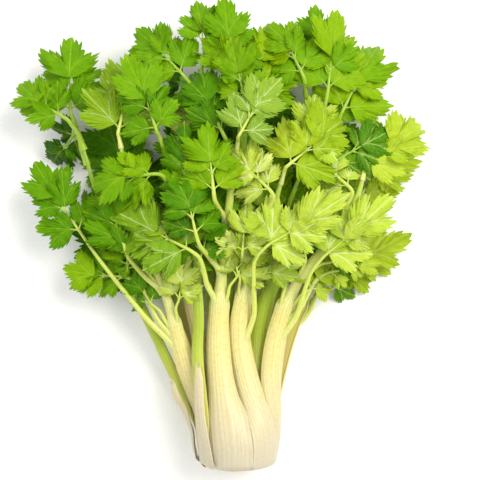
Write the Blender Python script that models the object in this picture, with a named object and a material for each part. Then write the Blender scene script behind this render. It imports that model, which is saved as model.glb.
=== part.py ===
"""A head of celery, lying on its back on a flat surface.

The head is a cut crown with stalks standing on it in two rings round a heart. Each stalk is a ribbed,
crescent-shaped leaf stem: it starts as a wide sheath round the crown, narrows, and divides at a joint into
side stems with leaves. Frame: +Y runs from the crown to the leaf tips, +Z is up from the surface, and the
origin is at the middle of the bounding box's underside. Tables are in millimetres, and the model in metres.
"""

import math
from collections import namedtuple

import bmesh
import bpy
from mathutils import Euler, Matrix, Vector
from mathutils.bvhtree import BVHTree
from mathutils.geometry import interpolate_bezier

# ---- Driving dimensions, in millimetres ----
MM = 0.001
AXIS_HEIGHT = 41.0  # of the head's axis above the surface, at the crown
CROWN_RADIUS = 32.6
CROWN_CUT_RADIUS = 27.0
CROWN_CUT_Y = -15.0
CROWN_TOP_Y = -1.5
CROWN_SIDES = 32
OUTER_RING_START_Y = -10.0  # where the outer sheaths end, round the crown's shoulder
INNER_RING_START_Y = 0.8
OUTER_RING_LEAST_RADIUS = 30.0
SHEATH_LENGTH = 72.0
OUTER_SHEATH_END_THICKNESS = 3.0
INNER_SHEATH_END_THICKNESS = 5.0
STALK_STATIONS = 15
STALK_HALF_ANGLE = math.radians(66)  # of the crescent, beyond the sheath
MOST_STALK_EDGE = 2.4
STALK_TIP_WIDTH = 4.6
STALK_TIP_THICKNESS = 3.6
STUB_STATIONS = 9
STUB_HALF_ANGLE = math.radians(48)
SIDE_STEM_WIDTH = 3.2
SIDE_STEM_THICKNESS = 2.8
SIDE_STEM_STATIONS = 5
SIDE_STEM_SPLAY = 0.6  # sideways and upward shares of the direction in which a side stem leaves
SIDE_STEM_RISE = 0.35
SIDE_STEM_BEND = 0.4  # length of each handle of the stem's curve, as a share of its reach
SIDE_STEM_GAP = 0.8  # between a side stem and the side of its stalk
END_STEM_GAP = 1.2  # between a last side stem and the end of its stalk
BLADE_THICKNESS = 1.3
BLADE_TIP_THICKNESS = 1.6
BLADE_LEAST_HALF_WIDTH = 1.3
BLADE_ARCH = 0.1  # share of the half width by which a blade's edges bend down
BLADE_PROFILE = [  # (share of the blade's length, share of its half width): two side lobes and a tip lobe
    (0.0, 0.06),
    (0.08, 0.36),
    (0.20, 0.86),
    (0.33, 1.0),
    (0.42, 0.74),
    (0.50, 0.58),
    (0.60, 0.66),
    (0.72, 0.60),
    (0.86, 0.34),
    (1.0, 0.05),
]

# How each blade is laid on those before it.
CLEARANCE = 1.6  # kept above and below
LIFT_STEP = 2.5
MOST_LIFTS = 26
SLIDES = (0.0, -0.04, 0.04, -0.08)  # tried along the stalk, as shares of its route
TURNS = (0, 9, -9)  # tried for the heading, in degrees

# ring: the angle round the axis from straight up, clockwise as seen from the crown, and the radius there.
# sheath: half the angle that the sheath spans. face: which way the ribbed side looks beyond the sheath.
# joint: the share of the route at which the stalk divides. route: points beyond the ring.
Stalk = namedtuple("Stalk", "name ring sheath width thick face joint colour route")
STALKS = [
    Stalk("front", (-12, 35.5), 33, 21.5, 9.0, 0, 0.51, "stalk_pale",
          [(-10, 28, 75), (-17, 75, 66), (-19, 115, 60), (-16, 160, 59), (-12, 205, 66), (-6, 250, 75),
           (0, 292, 82)]),
    Stalk("front_right", (44.5, 35.5), 19.0, 20.5, 9.0, 14, 0.57, "stalk_pale",
          [(22.5, 30, 66.5), (10, 68, 58.5), (3, 110, 54), (8, 158, 55), (22, 200, 62), (34, 235, 70),
           (42, 262, 76)]),
    Stalk("right", (85, 35.5), 18.5, 20.5, 8.5, 20, 0.52, "stalk_pale",
          [(36, 35, 45.5), (34, 80, 45), (41, 122, 45), (57, 160, 47), (80, 192, 52), (100, 218, 58),
           (113, 245, 64), (118, 266, 68)]),
    Stalk("left", (-88, 35.5), 17.5, 19.5, 8.0, -18, 0.42, "stalk_pale",
          [(-36, 30, 47), (-47, 68, 49), (-56, 98, 50), (-67, 142, 53), (-84, 188, 57), (-97, 225, 61),
           (-106, 266, 65), (-111, 296, 67)]),
    Stalk("far_left", (-124, 35.5), 13.5, 14.0, 7.5, -55, 0.55, "stalk_green",
          [(-39, 22, 25), (-58, 60, 29), (-79, 106, 35), (-102, 154, 38), (-120, 201, 42), (-136, 249, 47),
           (-148, 290, 51), (-156, 316, 53)]),
    Stalk("slim", (-59, 35.5), 9.5, 12.0, 7.0, -40, 0.60, "stalk_green",
          [(-31, 22, 64), (-36.5, 60, 64), (-38.5, 100, 62), (-38, 140, 61), (-42, 190, 64), (-51, 235, 69),
           (-64, 275, 74), (-72, 296, 77)]),
    Stalk("inner_right", (65, 20.0), 34, 19.0, 7.5, 10, 0.50, "stalk_green",
          [(20, 42, 42), (20, 85, 35), (23, 125, 33), (33, 158, 34), (45, 200, 39), (60, 245, 47),
           (80, 285, 54), (94, 312, 59)]),
    Stalk("inner_left", (-72, 20.0), 30, 13.0, 6.5, -10, 0.56, "stalk_pale",
          [(-21, 42, 43), (-35, 95, 36), (-43, 130, 36), (-50, 165, 39), (-48, 206, 48), (-41, 250, 60),
           (-38, 284, 68)]),
    Stalk("inner_front", (-5, 20.0), 34, 13.5, 7.0, 0, 0.55, "stalk_green",
          [(-4, 42, 53), (-8, 95, 43), (-10, 140, 42), (-9, 190, 46), (-1, 250, 55), (6, 298, 63),
           (7, 328, 67)]),
    Stalk("inner_back_left", (-145, 20.0), 34, 15.0, 7.0, 180, 0.55, "stalk_green",
          [(-14, 42, 26), (-20, 95, 23), (-24, 140, 25), (-26, 190, 31), (-25, 250, 42), (-29, 305, 54),
           (-36, 360, 64)]),
    Stalk("inner_back_right", (135, 20.0), 34, 15.0, 7.0, 180, 0.55, "stalk_green",
          [(16, 42, 25), (25, 95, 19), (33, 140, 19), (44, 190, 25), (56, 250, 36), (66, 310, 48),
           (75, 362, 57)]),
    Stalk("back_right", (124, 35.5), 19.5, 19.0, 8.5, 170, 0.62, "stalk_pale",
          [(30, 35, 19), (39, 80, 12), (53, 120, 10), (73, 165, 11), (97, 205, 15), (116, 236, 19)]),
    Stalk("back_middle", (164, 35.5), 19, 20.0, 8.5, 180, 0.55, "stalk_pale",
          [(6, 35, 9), (2, 80, 9), (0, 120, 8), (-2, 170, 9), (2, 215, 13), (8, 260, 21), (14, 296, 29)]),
    Stalk("back_left", (-157, 35.5), 18.5, 19.0, 8.5, -170, 0.62, "stalk_pale",
          [(-22, 35, 11), (-38, 80, 10), (-52, 120, 10), (-68, 165, 11), (-84, 205, 14), (-99, 241, 19)]),
    Stalk("heart", (0, 0.0), 60, 8.5, 6.0, 10, 0.75, "stalk_pale",
          [(4, 50, 42), (4, 100, 41), (3.5, 150, 43), (3, 176, 54)]),
]

# Outer stalks that were snapped off low down: the pale stubs stay outside the ring.
Stub = namedtuple("Stub", "name ring sheath width thick face route")
STUBS = [
    Stub("left", (-93, 43.4), 11, 9.0, 4.2, -50, [(-46, 20, 41), (-57, 42, 45), (-66, 63, 48)]),
    Stub("front", (-46, 43.4), 11, 8.0, 4.2, -35, [(-33.5, 22, 73), (-36, 50, 73), (-37, 82, 71)]),
]

# at: the share of the stalk's route where the side stem leaves. base: where the blade starts.
# heading: of the tip, from +Y clockwise as seen from above. pitch lifts the tip, and roll lifts the
# blade's left side. droop: how far the blade bends down along its length. Angles are in degrees.
# The list runs from the back of the head to the front: each leaf is laid on those before it.
Leaf = namedtuple("Leaf", "stalk number at base heading length width pitch roll droop colour")
LEAVES = [
    Leaf("back_middle", 1, 0.56, (-14, 212, 9), -42, 92, 80, 2, -4, 5, "leaf_green"),
    Leaf("back_middle", 2, 1.00, (16, 304, 26), 4, 92, 84, -6, 3, 14, "leaf_green"),
    Leaf("back_left", 1, 0.50, (-92, 182, 9), -66, 78, 70, 2, 6, 8, "leaf_green"),
    Leaf("back_left", 2, 1.00, (-102, 248, 18), -22, 90, 80, -4, 5, 8, "leaf_green"),
    Leaf("back_right", 1, 0.50, (98, 176, 9), 70, 70, 62, 2, -5, 9, "leaf_light"),
    Leaf("back_right", 2, 1.00, (118, 243, 19), 36, 84, 74, 4, -6, 16, "leaf_light"),
    Leaf("inner_back_right", 1, 1.00, (77, 368, 58), -4, 56, 52, 2, 0, 18, "leaf_green"),
    Leaf("inner_back_left", 3, 0.90, (-50, 352, 50), -148, 52, 46, -14, 6, 40, "leaf_green"),
    Leaf("inner_back_left", 2, 1.00, (-32, 372, 64), -4, 60, 54, 4, 2, 20, "leaf_green"),
    Leaf("far_left", 3, 0.90, (-156, 304, 42), -136, 54, 50, -12, 4, 40, "leaf_green"),
    Leaf("far_left", 1, 1.00, (-159, 322, 54), -2, 76, 72, 4, 0, 22, "leaf_green"),
    Leaf("left", 4, 0.40, (-108, 166, 44), -76, 66, 58, 3, 5, 24, "leaf_green"),
    Leaf("left", 3, 0.41, (-148, 207, 50), -44, 98, 84, 6, 4, 28, "leaf_green"),
    Leaf("right", 1, 0.46, (86, 170, 46), 76, 66, 38, 2, -10, 26, "leaf_light"),
    Leaf("right", 4, 1.00, (120, 272, 68), 54, 72, 66, 4, -12, 34, "leaf_light"),
    Leaf("inner_right", 1, 1.00, (98, 322, 62), 26, 82, 72, 4, -4, 30, "leaf_green"),
    Leaf("inner_right", 2, 0.88, (84, 340, 66), -2, 76, 66, 6, 4, 30, "leaf_green"),
    Leaf("inner_right", 3, 0.72, (92, 276, 66), 60, 62, 54, 6, -8, 24, "leaf_light"),
    Leaf("inner_left", 1, 1.00, (-37, 290, 71), -12, 58, 50, 8, 0, 26, "leaf_young"),
    Leaf("inner_front", 2, 0.94, (-4, 360, 74), -8, 66, 58, 5, 0, 22, "leaf_green"),
    Leaf("inner_front", 1, 1.00, (10, 334, 72), 28, 84, 70, 6, -4, 28, "leaf_green"),
    Leaf("left", 1, 1.00, (-112, 302, 70), 12, 82, 72, 6, -4, 28, "leaf_green"),
    Leaf("far_left", 2, 0.94, (-166, 318, 66), -58, 58, 56, 6, 8, 20, "leaf_green"),
    Leaf("left", 2, 0.55, (-106, 196, 72), -16, 68, 66, 12, 2, 20, "leaf_green"),
    Leaf("inner_back_left", 1, 0.95, (-52, 356, 70), -42, 66, 60, 6, 8, 22, "leaf_green"),
    Leaf("inner_back_right", 2, 0.92, (60, 356, 70), -34, 60, 52, 6, 6, 20, "leaf_green"),
    Leaf("inner_front", 3, 0.84, (-14, 300, 84), -34, 74, 68, 8, 6, 30, "leaf_green"),
    Leaf("inner_front", 4, 0.90, (6, 332, 92), -14, 54, 52, 8, -4, 24, "leaf_green"),
    Leaf("front", 4, 1.00, (2, 298, 86), 20, 62, 56, 8, -6, 26, "leaf_light"),
    Leaf("right", 3, 0.84, (104, 250, 74), -38, 60, 56, 12, -4, 40, "leaf_young"),
    Leaf("inner_right", 4, 0.66, (64, 282, 78), 8, 60, 56, 8, -2, 26, "leaf_young"),
    Leaf("front_right", 1, 1.00, (46, 270, 84), 50, 78, 68, 10, -4, 34, "leaf_light"),
    Leaf("front_right", 2, 0.84, (30, 246, 88), -36, 60, 56, 12, 4, 40, "leaf_young"),
    Leaf("slim", 2, 0.76, (-50, 246, 84), 4, 62, 46, 12, 4, 16, "leaf_green"),
    Leaf("slim", 1, 1.00, (-75, 302, 84), -18, 72, 58, 10, 4, 22, "leaf_green"),
    Leaf("slim", 3, 0.80, (-78, 262, 88), -96, 60, 56, 6, 8, 30, "leaf_green"),
    Leaf("heart", 1, 1.00, (4, 190, 76), 14, 50, 46, 26, -4, 60, "leaf_young"),
    Leaf("front", 2, 0.78, (-22, 244, 88), -6, 66, 60, 12, 2, 30, "leaf_green"),
    Leaf("right", 2, 0.45, (80, 186, 72), 60, 84, 54, 10, -8, 28, "leaf_young"),
    Leaf("front_right", 3, 0.44, (27, 196, 80), 50, 82, 56, 12, -6, 26, "leaf_young"),
    Leaf("front", 3, 0.62, (-38, 206, 92), -4, 58, 60, 12, 4, 30, "leaf_green"),
    Leaf("front", 1, 0.52, (-44, 192, 88), -62, 80, 72, 8, 6, 30, "leaf_green"),
]


def clear_scene():
    for obj in list(bpy.data.objects):
        bpy.data.objects.remove(obj, do_unlink=True)


def paint(name, colour, roughness):
    """A plain material; colour is linear RGB."""
    material = bpy.data.materials.new(name)
    material.use_nodes = True
    shader = material.node_tree.nodes["Principled BSDF"]
    shader.inputs["Base Color"].default_value = (*colour, 1.0)
    shader.inputs["Roughness"].default_value = roughness
    shader.inputs["Metallic"].default_value = 0.0
    return material


def make_materials():
    return {
        "crown": paint("crown", (0.75, 0.66, 0.45), 0.6),
        "stalk_pale": paint("stalk_pale", (0.78, 0.80, 0.42), 0.4),
        "stalk_green": paint("stalk_green", (0.42, 0.60, 0.14), 0.4),
        "leaf_green": paint("leaf_green", (0.10, 0.36, 0.02), 0.45),
        "leaf_light": paint("leaf_light", (0.30, 0.55, 0.05), 0.45),
        "leaf_young": paint("leaf_young", (0.60, 0.72, 0.18), 0.45),
    }


# ---- Smooth curves through hand-set points ----


def catmull_rom(before, start, end, after, share):
    linear = (end - before) * share
    square = (2 * before - 5 * start + 4 * end - after) * share**2
    cube = (3 * start - before - 3 * end + after) * share**3
    return start + (linear + square + cube) / 2


def smooth_route(points, count):
    """count points, evenly spaced along a Catmull-Rom curve through the given ones."""
    ends = [2 * points[0] - points[1], *points, 2 * points[-1] - points[-2]]
    steps = 16
    fine = [
        catmull_rom(*four, step / steps)
        for four in zip(ends, ends[1:], ends[2:], ends[3:])
        for step in range(steps)
    ]
    return evenly_spaced([*fine, points[-1]], count)


def evenly_spaced(points, count):
    lengths = [0.0]
    for start, end in zip(points, points[1:]):
        lengths.append(lengths[-1] + (end - start).length)
    spaced = []
    place = 0
    for index in range(count):
        wanted = lengths[-1] * index / (count - 1)
        while place < len(points) - 2 and lengths[place + 1] < wanted:
            place += 1
        share = (wanted - lengths[place]) / (lengths[place + 1] - lengths[place])
        spaced.append(points[place].lerp(points[place + 1], min(1.0, share)))
    return spaced


def tangents_of(points):
    ends = [points[0], *points, points[-1]]
    return [(after - before).normalized() for before, after in zip(ends, ends[2:])]


def ramp(keys, share):
    """Linear interpolation in a list of (share, value)."""
    for (start, low), (end, high) in zip(keys, keys[1:]):
        if share <= end:
            return low + (high - low) * (share - start) / (end - start)
    return keys[-1][1]


def eased(share):
    share = min(1.0, max(0.0, share))
    return share * share * (3 - 2 * share)


# ---- Solids ----


def loft(name, rings, material):
    """A closed solid through rings with the same number of points, flat at both ends."""
    mesh = bpy.data.meshes.new(name)
    shape = bmesh.new()
    rows = [[shape.verts.new(point * MM) for point in ring] for ring in rings]
    sides = len(rows[0])
    for row, following in zip(rows, rows[1:]):
        for index in range(sides):
            after = (index + 1) % sides
            shape.faces.new((row[index], row[after], following[after], following[index]))
    shape.faces.new(reversed(rows[0]))
    shape.faces.new(rows[-1])
    bmesh.ops.triangulate(shape, faces=shape.faces[:])
    bmesh.ops.recalc_face_normals(shape, faces=shape.faces[:])
    shape.to_mesh(mesh)
    shape.free()
    mesh.materials.append(material)
    mesh.shade_smooth()
    mesh.set_sharp_from_angle(angle=math.radians(50))
    obj = bpy.data.objects.new(name, mesh)
    bpy.context.scene.collection.objects.link(obj)
    return obj


def ring_point(angle, radius, y):
    """A point on a circle round the head's axis; angle is in degrees from straight up."""
    turn = math.radians(angle)
    return Vector((radius * math.sin(turn), y, AXIS_HEIGHT + radius * math.cos(turn)))


def add_crown(materials):
    """The short root crown inside the sheaths: a turned solid with a flat trimmed face."""
    profile = [
        (CROWN_CUT_Y, CROWN_CUT_RADIUS),
        (CROWN_CUT_Y + 1.2, CROWN_CUT_RADIUS + 1.4),
        (OUTER_RING_START_Y, CROWN_RADIUS),
        (OUTER_RING_START_Y + 4.0, CROWN_RADIUS - 0.8),
        (CROWN_TOP_Y, CROWN_RADIUS - 5.0),
    ]
    sides = range(CROWN_SIDES)
    rings = [[ring_point(360 * side / CROWN_SIDES, radius, y) for side in sides] for y, radius in profile]
    return loft("crown", rings, materials["crown"])


# ---- Stalks ----


def crescent(middle, across, outward, half_angle, width, thick, edge):
    """A stalk's section: a round outer face, a shallow groove inside, and thin edges."""
    radius = width / 2 / math.sin(half_angle)
    centre = middle + outward * (thick / 2 - radius)
    outer = []
    for share in (-1, -0.68, -0.34, 0, 0.34, 0.68, 1):
        turn = share * half_angle
        outer.append(centre + radius * (math.sin(turn) * across + math.cos(turn) * outward))
    tip_across = (radius - edge) * math.sin(half_angle)
    tip_height = (outer[-1] - middle).dot(outward) - edge * math.cos(half_angle)
    inner = []
    for share in (1, 0.55, 0, -0.55, -1):
        height = -thick / 2 + (tip_height + thick / 2) * share**2
        inner.append(middle + across * tip_across * share + outward * height)
    return outer + inner


def facing(angle, tangent):
    """The unit vector square to the tangent that looks most nearly along the angle, clockwise from up."""
    turn = math.radians(angle)
    aim = Vector((math.sin(turn), 0.0, math.cos(turn)))
    return (aim - tangent * aim.dot(tangent)).normalized()


def nearest_turn(start, end):
    """end, moved by whole turns to within half a turn of start."""
    return end + 360 * round((start - end) / 360)


def stalk_route(stalk, outer):
    """The stalk's middle points: straight along the axis from the ring, then through its own points."""
    start_y = OUTER_RING_START_Y if outer else INNER_RING_START_Y
    angle, radius = stalk.ring
    points = [ring_point(angle, radius, start_y), ring_point(angle, radius + 0.6, start_y + 14)]
    return smooth_route(points + [Vector(point) for point in stalk.route], STALK_STATIONS)


def stalk_rings(stalk):
    """A stalk's sections, and its (middle points, outward vectors, widths) for the side stems."""
    angle, radius = stalk.ring
    outer = radius > OUTER_RING_LEAST_RADIUS
    middles = stalk_route(stalk, outer)
    length = sum((end - start).length for start, end in zip(middles, middles[1:]))
    sheath_end = SHEATH_LENGTH / length
    sheath_width = 2 * (radius + stalk.thick / 2) * math.sin(math.radians(stalk.sheath))
    width_keys = [
        (0.0, sheath_width * 0.94),
        (sheath_end * 0.5, sheath_width * (0.97 if outer else 0.8)),
        (sheath_end, stalk.width * 1.12),
        (stalk.joint - 0.03, stalk.width * 0.92),
        (stalk.joint + 0.05, stalk.width * 0.50),
        (1.0, STALK_TIP_WIDTH),
    ]
    thick_keys = [
        (0.0, OUTER_SHEATH_END_THICKNESS if outer else INNER_SHEATH_END_THICKNESS),
        (sheath_end * 0.35, stalk.thick),
        (stalk.joint, stalk.thick * 0.9),
        (stalk.joint + 0.07, stalk.thick * 0.62),
        (1.0, STALK_TIP_THICKNESS),
    ]
    sheath_angle = math.radians(stalk.sheath)
    last_face = nearest_turn(angle, stalk.face)
    rings, outwards, widths = [], [], []
    for index, (middle, tangent) in enumerate(zip(middles, tangents_of(middles))):
        share = index / (STALK_STATIONS - 1)
        outward = facing(angle + (last_face - angle) * eased(share / (sheath_end * 1.5)), tangent)
        half_angle = sheath_angle + (STALK_HALF_ANGLE - sheath_angle) * eased(share / sheath_end)
        width, thick = ramp(width_keys, share), ramp(thick_keys, share)
        edge = min(MOST_STALK_EDGE, thick * 0.3)
        rings.append(crescent(middle, tangent.cross(outward), outward, half_angle, width, thick, edge))
        outwards.append(outward)
        widths.append(width)
    return rings, (middles, outwards, widths)


def stub_rings(stub):
    """A snapped stalk: a thin sheath outside the ring that ends in a narrowed break."""
    angle, radius = stub.ring
    points = [ring_point(angle, radius - 2.5, OUTER_RING_START_Y + 3), ring_point(angle, radius, 8)]
    middles = smooth_route(points + [Vector(point) for point in stub.route], STUB_STATIONS)
    sheath_angle = 1.6 * math.radians(stub.sheath)
    width_keys = [
        (0, 2 * radius * math.sin(math.radians(stub.sheath))),
        (0.5, stub.width * 1.25),
        (0.93, stub.width * 0.9),
        (1, stub.width * 0.6),
    ]
    thick_keys = [(0, 2.0), (0.3, stub.thick), (0.9, stub.thick), (1, stub.thick * 0.5)]
    rings = []
    for index, (middle, tangent) in enumerate(zip(middles, tangents_of(middles))):
        share = index / (STUB_STATIONS - 1)
        outward = facing(angle + (stub.face - angle) * eased(share), tangent)
        half_angle = sheath_angle + (STUB_HALF_ANGLE - sheath_angle) * share
        width, thick = ramp(width_keys, share), ramp(thick_keys, share)
        edge = thick * 0.35
        rings.append(crescent(middle, tangent.cross(outward), outward, half_angle, width, thick, edge))
    return rings


# ---- Leaves ----


def blade_frame(leaf):
    """The blade's own axes at its base, as the columns of a matrix: across, along and up."""
    tilt = Euler((math.radians(leaf.pitch), math.radians(leaf.roll), 0)).to_matrix()
    return Matrix.Rotation(-math.radians(leaf.heading), 3, "Z") @ tilt


def lens(middle, across, up, half_width, thick, arch):
    """A flat six-sided section with thin edges, arched up by arch at its middle."""
    rise = up * (thick / 2)
    edge, shoulder = -up * arch, -up * arch * 0.2
    return [
        middle - across * half_width + edge,
        middle - across * half_width * 0.5 + shoulder + rise,
        middle + across * half_width * 0.5 + shoulder + rise,
        middle + across * half_width + edge,
        middle + across * half_width * 0.5 + shoulder - rise,
        middle - across * half_width * 0.5 + shoulder - rise,
    ]


def stem_rings(stem, swell):
    rings = []
    for index, tangent in enumerate(tangents_of(stem)[:-1]):
        extra = swell * min(1.0, index / 2)
        across = tangent.cross(Vector((0, 0, 1))).normalized()
        half_width = (SIDE_STEM_WIDTH + extra) / 2
        rings.append(lens(stem[index], across, across.cross(tangent), half_width,
                          SIDE_STEM_THICKNESS + extra, 0.0))
    return rings


def leaf_rings(leaf, start, leaving, lift, swell):
    """Sections along a side stem and its blade. lift raises the blade, and swell thickens it for testing."""
    across, along, up = blade_frame(leaf).transposed()
    base = Vector(leaf.base) + Vector((0, 0, lift))
    handle = (base - start).length * SIDE_STEM_BEND
    stem = interpolate_bezier(start, start + leaving * handle, base - along * handle, base,
                              SIDE_STEM_STATIONS + 1)
    rings = stem_rings(stem, swell)
    place, gone = base, 0.0
    for share, width in BLADE_PROFILE:
        bend = Matrix.Rotation(-math.radians(leaf.droop) * share, 3, across)
        place = place + bend @ along * (share - gone) * leaf.length
        gone = share
        thick = BLADE_THICKNESS if 0 < share < 1 else BLADE_TIP_THICKNESS
        half = max(width * leaf.width / 2, BLADE_LEAST_HALF_WIDTH) + swell / 2
        rings.append(lens(place, across, bend @ up, half, thick + swell, half * BLADE_ARCH))
    return rings


def leaf_start(leaf, route):
    """Where the leaf's stem leaves its stalk, and in which direction."""
    middles, outwards, widths = route
    if leaf.at >= 1.0:
        leaving = (middles[-1] - middles[-2]).normalized()
        return middles[-1] + leaving * END_STEM_GAP, leaving
    place = leaf.at * (len(middles) - 1)
    index = int(place)
    middle = middles[index].lerp(middles[index + 1], place - index)
    tangent = (middles[index + 1] - middles[index]).normalized()
    across = tangent.cross(outwards[index]).normalized()
    if (Vector(leaf.base) - middle).dot(across) < 0:
        across = -across
    width = max(widths[index], widths[index + 1])
    leaving = (tangent + across * SIDE_STEM_SPLAY + Vector((0, 0, SIDE_STEM_RISE))).normalized()
    return middle + across * ((width + SIDE_STEM_WIDTH) / 2 + SIDE_STEM_GAP), leaving


def tree_of(rings):
    """A search tree of a loft's surface."""
    points = [point for ring in rings for point in ring]
    sides = len(rings[0])
    faces = []
    for start in range(0, len(points) - sides, sides):
        for index in range(sides):
            after = (index + 1) % sides
            faces.append((start + index, start + after, start + sides + after, start + sides + index))
    return BVHTree.FromPolygons(points, faces)


def lay_leaf(leaf, route, laid):
    """The leaf's sections at the lowest height where it touches nothing that is already there.

    At each height the stem may also leave a little further down or up its stalk, and the blade may turn.
    """
    for step in range(MOST_LIFTS):
        lift = step * LIFT_STEP
        for slide in SLIDES if leaf.at < 1 else (0.0,):
            for turn in TURNS:
                tried = leaf._replace(at=leaf.at + slide, heading=leaf.heading + turn)
                start, leaving = leaf_start(tried, route)
                swollen = tree_of(leaf_rings(tried, start, leaving, lift, 2 * CLEARANCE))
                if not any(swollen.overlap(other) for other in laid):
                    return leaf_rings(tried, start, leaving, lift, 0.0)
    raise ValueError(f"no room for leaf {leaf.number} of stalk {leaf.stalk}")


# ---- The whole head ----


def rest_on_origin(objects):
    """Moves everything so that the origin is at the middle of the bounding box's underside."""
    corners = [vertex.co for obj in objects for vertex in obj.data.vertices]
    low = Vector([min(corner[axis] for corner in corners) for axis in range(3)])
    high = Vector([max(corner[axis] for corner in corners) for axis in range(3)])
    shift = Matrix.Translation((-(low.x + high.x) / 2, -(low.y + high.y) / 2, -low.z))
    for obj in objects:
        obj.data.transform(shift)


def build_celery():
    clear_scene()
    materials = make_materials()
    objects = [add_crown(materials)]
    laid, routes = [], {}
    for stalk in STALKS:
        rings, routes[stalk.name] = stalk_rings(stalk)
        laid.append(tree_of(rings))
        objects.append(loft("stalk_" + stalk.name, rings, materials[stalk.colour]))
    for stub in STUBS:
        objects.append(loft("stub_" + stub.name, stub_rings(stub), materials["stalk_pale"]))
    for leaf in LEAVES:
        rings = lay_leaf(leaf, routes[leaf.stalk], laid)
        laid.append(tree_of(rings))
        objects.append(loft(f"leaf_{leaf.stalk}_{leaf.number}", rings, materials[leaf.colour]))
    rest_on_origin(objects)


build_celery()
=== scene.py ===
"""The looks of a head of celery that lies on its back: ribbed stalks, toothed leaves and the cut crown.

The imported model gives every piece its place: each section below reads the cross-sections of its own solids
and builds the grown surface over them. Lengths are in millimetres until a mesh is made, which is in metres.
"""

import math

import bpy
import numpy as np
from mathutils import Matrix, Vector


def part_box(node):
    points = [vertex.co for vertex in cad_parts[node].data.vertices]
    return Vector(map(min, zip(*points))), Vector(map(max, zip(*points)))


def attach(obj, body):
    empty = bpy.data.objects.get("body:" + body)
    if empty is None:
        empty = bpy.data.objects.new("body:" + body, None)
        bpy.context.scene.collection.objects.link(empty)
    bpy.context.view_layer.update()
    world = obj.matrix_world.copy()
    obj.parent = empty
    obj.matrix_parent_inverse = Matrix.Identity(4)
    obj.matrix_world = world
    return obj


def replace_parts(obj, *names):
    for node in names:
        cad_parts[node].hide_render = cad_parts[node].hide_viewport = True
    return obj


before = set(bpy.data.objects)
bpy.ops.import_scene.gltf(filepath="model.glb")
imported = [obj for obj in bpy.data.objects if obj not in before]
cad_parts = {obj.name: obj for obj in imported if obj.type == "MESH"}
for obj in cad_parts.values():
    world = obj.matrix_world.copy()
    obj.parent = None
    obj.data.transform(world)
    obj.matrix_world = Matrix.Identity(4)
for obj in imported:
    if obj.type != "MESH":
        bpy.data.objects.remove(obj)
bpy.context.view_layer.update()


# ---- Root crown ----
# The crown is the short stem that all the stalks grow from, trimmed flat with a knife below them.
# It is wet pale flesh with strings showing as dots, and the air has browned it a little since it was cut.

MM = 0.001
CROWN_SIDES = 96  # points round each ring of the crown
CUT_ROWS = 14  # rings over the cut face
SIDE_ROWS = 16  # rings up the side
CUT_SHARE = 0.9  # of the crown's radius, to the edge of the cut face
CUT_SET_BACK = 0.4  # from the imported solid's end to the edge of the cut
CUT_DOME = 0.98  # by which the cut face bulges
CUT_WANDER = 0.3  # of the knife's path
EDGE_BEND = 1.6  # how soon the side reaches its full width
TOP_TUCK = 0.1  # share of the radius by which the side narrows under the stalks
ROOT_SCARS = 31  # round the side, where small roots were rubbed off
SCAR_HEIGHT = 0.3
OUT_OF_ROUND = 0.5
CRISP_ANGLE = math.radians(62)  # a mesh edge sharper than this is not smoothed over
FLESH_SPECKLE_MM = 1.1
STRING_DOTS_MM = 4.6
BLOOM_MM = 11  # patches that the air has browned


def linear(code):
    """An sRGB hex colour as linear red, green, blue and alpha."""
    parts = [int(code[start:start + 2], 16) / 255 for start in (1, 3, 5)]
    return [part / 12.92 if part <= 0.04045 else ((part + 0.055) / 1.055) ** 2.4 for part in parts] + [1.0]


def add(tree, kind, inputs=None, stops=None, **settings):
    """Adds a shader node. inputs are values or sockets by name or number; stops are a ramp's (place, hex)."""
    node = tree.nodes.new(kind)
    for name, value in settings.items():
        setattr(node, name, value)
    for name, value in (inputs or {}).items():
        if isinstance(value, bpy.types.NodeSocket):
            tree.links.new(value, node.inputs[name])
        else:
            node.inputs[name].default_value = value
    for number, (place, code) in enumerate(stops or []):
        elements = node.color_ramp.elements
        element = elements[number] if number < 2 else elements.new(place)
        element.position = place
        element.color = linear(code)
    return node


def new_material(name):
    """A material with nothing in it yet."""
    material = bpy.data.materials.new(name)
    material.use_nodes = True
    material.node_tree.nodes.clear()
    return material


def mix(tree, factor, first, second, blend="MIX"):
    """The colour between two others."""
    inputs = {"Factor": factor, 6: first, 7: second}
    return add(tree, "ShaderNodeMix", inputs, data_type="RGBA", blend_type=blend).outputs[2]


def painted(tree, name):
    """A value that was stored on the points of the mesh."""
    return add(tree, "ShaderNodeAttribute", attribute_name=name).outputs["Fac"]


def eased(tree, value, low, high, to_low=0.0, to_high=1.0):
    """A value carried from one range to another, and held at its ends."""
    inputs = {"Value": value, "From Min": low, "From Max": high, "To Min": to_low, "To Max": to_high}
    return add(tree, "ShaderNodeMapRange", inputs, interpolation_type="SMOOTHSTEP").outputs["Result"]


def in_units_of(tree, scale_mm):
    """Object coordinates in which one unit is scale_mm."""
    place = add(tree, "ShaderNodeTexCoord").outputs["Object"]
    scale = [1 / (scale_mm * MM)] * 3
    return add(tree, "ShaderNodeMapping", {"Vector": place, "Scale": scale}).outputs["Vector"]


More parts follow.
